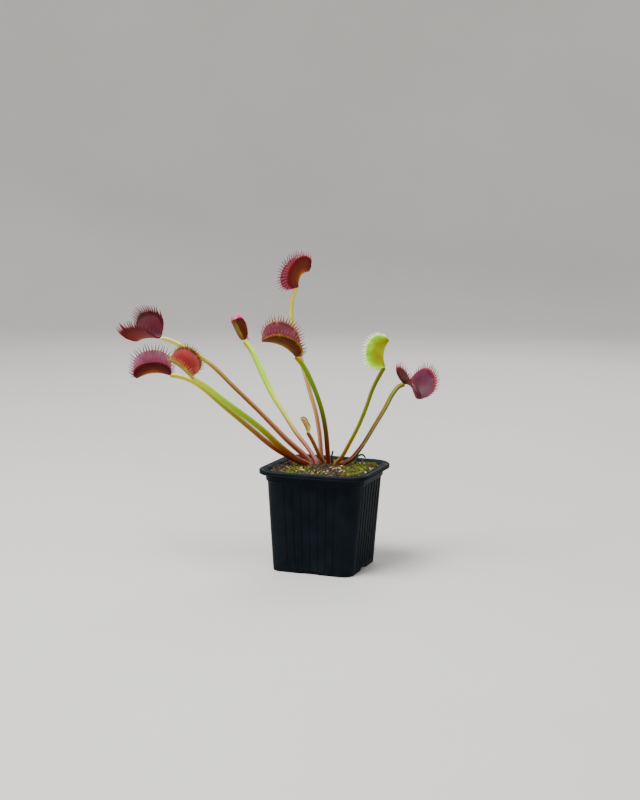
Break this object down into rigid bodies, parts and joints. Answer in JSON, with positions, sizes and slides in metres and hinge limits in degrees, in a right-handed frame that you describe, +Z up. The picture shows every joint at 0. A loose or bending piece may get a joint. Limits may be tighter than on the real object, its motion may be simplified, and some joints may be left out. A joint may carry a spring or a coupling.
{
  "type": "potted venus flytrap",
  "caption": "Square nursery pot of peat with a rosette of long-stalked flytrap leaves, each ending in a toothed two-lobed trap.",
  "frame": {"origin": "centre of the pot's underside, on the surface that it stands on", "axes": "+Z up along the pot's axis, +X and +Y square to two of its sides; the leaves fan out across the corner between -Y and +X"},
  "size_m": [0.2232, 0.1313, 0.2236],
  "materials": {
    "pot_plastic": "satin",
    "peat": "matte",
    "rhizome": "matte",
    "leaf_stalk": "satin",
    "trap_red": "satin",
    "trap_green": "satin",
    "old_leaf": "matte"
  },
  "bodies": {
    "root": {"pot": "pot_plastic", "soil": "peat", "rhizome": "rhizome", "leaf_1_stalk": "leaf_stalk", "leaf_1_trap": "trap_red", "leaf_2_stalk": "leaf_stalk", "leaf_2_trap": "trap_red", "leaf_3_stalk": "leaf_stalk", "leaf_3_trap": "trap_red", "leaf_4_stalk": "leaf_stalk", "leaf_4_trap": "trap_red", "leaf_5_stalk": "leaf_stalk", "leaf_5_trap": "trap_red", "leaf_6_stalk": "leaf_stalk", "leaf_6_trap": "trap_red", "leaf_7_stalk": "leaf_stalk", "leaf_7_trap": "trap_green", "leaf_8_stalk": "leaf_stalk", "leaf_8_trap": "trap_red", "young_leaf": "leaf_stalk", "old_leaf_1": "old_leaf", "old_leaf_2": "old_leaf"}
  },
  "joints": []
}
